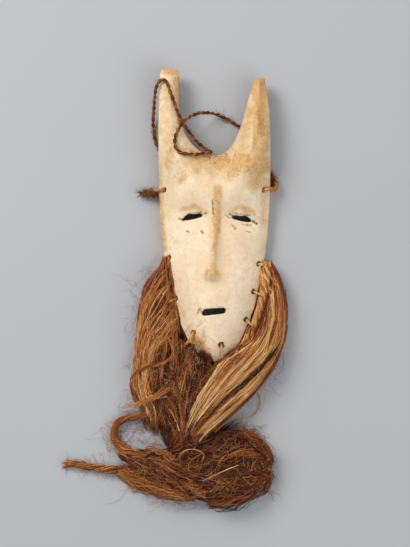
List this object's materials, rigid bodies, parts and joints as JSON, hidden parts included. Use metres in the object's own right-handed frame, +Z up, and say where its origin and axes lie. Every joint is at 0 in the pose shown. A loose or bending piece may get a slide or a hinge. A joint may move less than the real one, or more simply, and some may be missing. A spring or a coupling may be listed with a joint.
{
  "type": "horned face mask with fibre beard",
  "caption": "Whitened wooden face mask with tall horns, slit eyes, a narrow nose ridge and a slot mouth. A fibre beard is tied to its rim, and a twisted cord is there to hang it by.",
  "frame": {"origin": "on the ground, under the middle of the box round everything but the hanging cord", "axes": "+Z up, out of the face; +Y from the chin to the horns; +X to the right of someone looking down at the face"},
  "size_m": [0.1912, 0.3756, 0.0386],
  "materials": {
    "whitened_wood": "matt white clay over worn brown wood",
    "brown_fibre": "soft brown raffia",
    "tan_fibre": "pale raffia",
    "cord_fibre": "twisted dark fibre"
  },
  "bodies": {
    "root": {"mask": "whitened_wood", "hanging_cord": "cord_fibre", "rim_roll": "tan_fibre", "right_beard_lock": "tan_fibre", "chin_beard_lock": "brown_fibre", "left_beard_lock": "brown_fibre", "beard_tangle": "brown_fibre", "side_loop": "brown_fibre", "tail_wisp": "tan_fibre", "left_temple_tie": "cord_fibre", "right_temple_tie": "tan_fibre", "left_tie_upper": "tan_fibre", "left_tie_middle": "tan_fibre", "left_tie_lower": "tan_fibre", "chin_tie": "tan_fibre", "right_tie_lower": "tan_fibre", "right_tie_middle": "tan_fibre", "right_tie_upper": "tan_fibre"}
  },
  "joints": []
}
